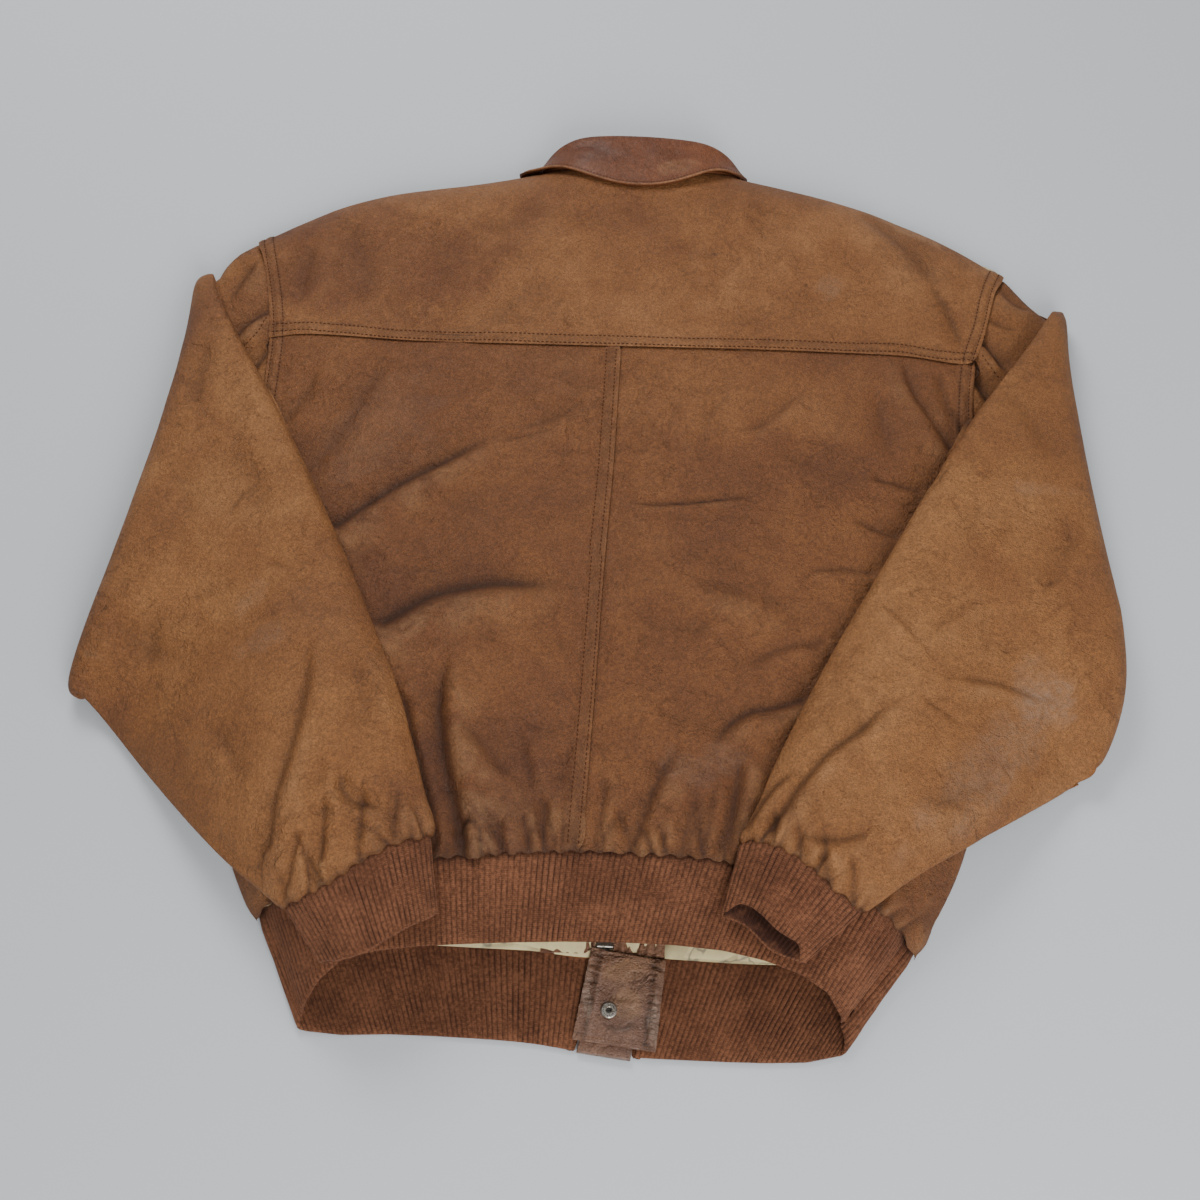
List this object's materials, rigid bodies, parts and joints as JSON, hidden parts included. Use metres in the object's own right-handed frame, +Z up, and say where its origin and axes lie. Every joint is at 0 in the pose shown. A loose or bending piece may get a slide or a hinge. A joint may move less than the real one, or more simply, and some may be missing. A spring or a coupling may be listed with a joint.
{
  "type": "leather jacket",
  "caption": "Waist-length leather jacket with knitted cuffs and waistband, laid face down with both sleeves folded over the back.",
  "frame": {"origin": "on the surface the jacket lies on, under the middle of its footprint", "axes": "+Z up out of the back of the jacket, +Y towards the collar, +X across the back towards the wearer's right arm as the jacket lies"},
  "size_m": [0.7985, 0.798, 0.0742],
  "materials": {
    "sleeve_leather": "worn matte tan",
    "body_leather": "worn matte brown",
    "collar_leather": "softly polished russet",
    "tab_leather": "polished chestnut",
    "rib_knit": "rib knit",
    "lining_twill": "plain cream twill",
    "zip_tape": "woven tape",
    "steel": "brushed"
  },
  "bodies": {
    "root": {"back_left": "body_leather", "back_right": "body_leather", "back_yoke": "body_leather", "collar_fall": "collar_leather", "collar_stand": "collar_leather", "cuff_left": "rib_knit", "cuff_right": "rib_knit", "facing_left": "collar_leather", "facing_right": "collar_leather", "front_left": "body_leather", "front_right": "body_leather", "lining_left": "lining_twill", "lining_right": "lining_twill", "sleeve_left_back": "sleeve_leather", "sleeve_left_front": "sleeve_leather", "sleeve_right_back": "sleeve_leather", "sleeve_right_front": "sleeve_leather", "snap_cap": "steel", "snap_ring": "steel", "tab_inner": "tab_leather", "tab_outer": "tab_leather", "waistband": "rib_knit", "zip_box": "steel", "zip_left": "zip_tape", "zip_right": "zip_tape", "zip_slider": "steel"}
  },
  "joints": []
}
